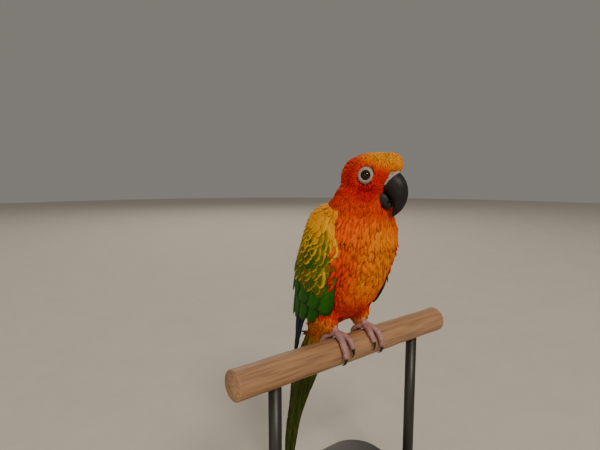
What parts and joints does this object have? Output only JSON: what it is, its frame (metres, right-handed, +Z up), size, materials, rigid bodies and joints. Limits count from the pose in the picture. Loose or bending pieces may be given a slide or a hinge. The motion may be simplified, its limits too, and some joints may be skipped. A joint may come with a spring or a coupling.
{
  "type": "parrot model",
  "caption": "Life-size perched sun conure, a small orange, yellow and green parrot, gripping a cut length of wooden perch that rods hold over a flat base.",
  "frame": {"origin": "middle of the underside of the stand's base", "axes": "+Z up, -Y the way the bird faces, +X along the perch towards the bird's left side"},
  "size_m": [0.18, 0.132, 0.2713],
  "materials": {
    "face_feathers": "short soft feathers, orange to red",
    "breast_feathers": "soft feathers, bright orange",
    "wing_coverts": "overlapping feathers, yellow with green centres",
    "wing_green": "overlapping flight feathers, green",
    "wing_dark": "overlapping flight feathers, blue-black",
    "tail_feathers": "long overlapping feathers, olive with dark ends",
    "thigh_feathers": "soft feathers, orange yellow",
    "bare_skin": "bare pale skin, matt and finely creased",
    "bill": "horn, black grey with a low sheen",
    "eye": "wet and glossy, nearly black",
    "foot_skin": "scaly skin, pinkish grey",
    "claw": "horn, dark with a low sheen",
    "perch_wood": "bare smooth branch wood, warm tan",
    "stand": "satin dark paint"
  },
  "bodies": {
    "root": {"head": "face_feathers", "neck": "face_feathers", "torso": "breast_feathers", "cere": "bare_skin", "bill_upper": "bill", "bill_lower": "bill", "tail": "tail_feathers", "perch": "perch_wood", "eye_left": "eye", "eye_ring_left": "bare_skin", "wing_coverts_left": "wing_coverts", "wing_secondaries_left": "wing_green", "wing_primaries_left": "wing_dark", "thigh_left": "thigh_feathers", "foot_left": "foot_skin", "claw_inner_front_left": "claw", "claw_outer_front_left": "claw", "claw_outer_back_left": "claw", "claw_inner_back_left": "claw", "stand_rod_left": "stand", "eye_right": "eye", "eye_ring_right": "bare_skin", "wing_coverts_right": "wing_coverts", "wing_secondaries_right": "wing_green", "wing_primaries_right": "wing_dark", "thigh_right": "thigh_feathers", "foot_right": "foot_skin", "claw_inner_front_right": "claw", "claw_outer_front_right": "claw", "claw_outer_back_right": "claw", "claw_inner_back_right": "claw", "stand_rod_right": "stand", "stand_base": "stand"}
  },
  "joints": []
}
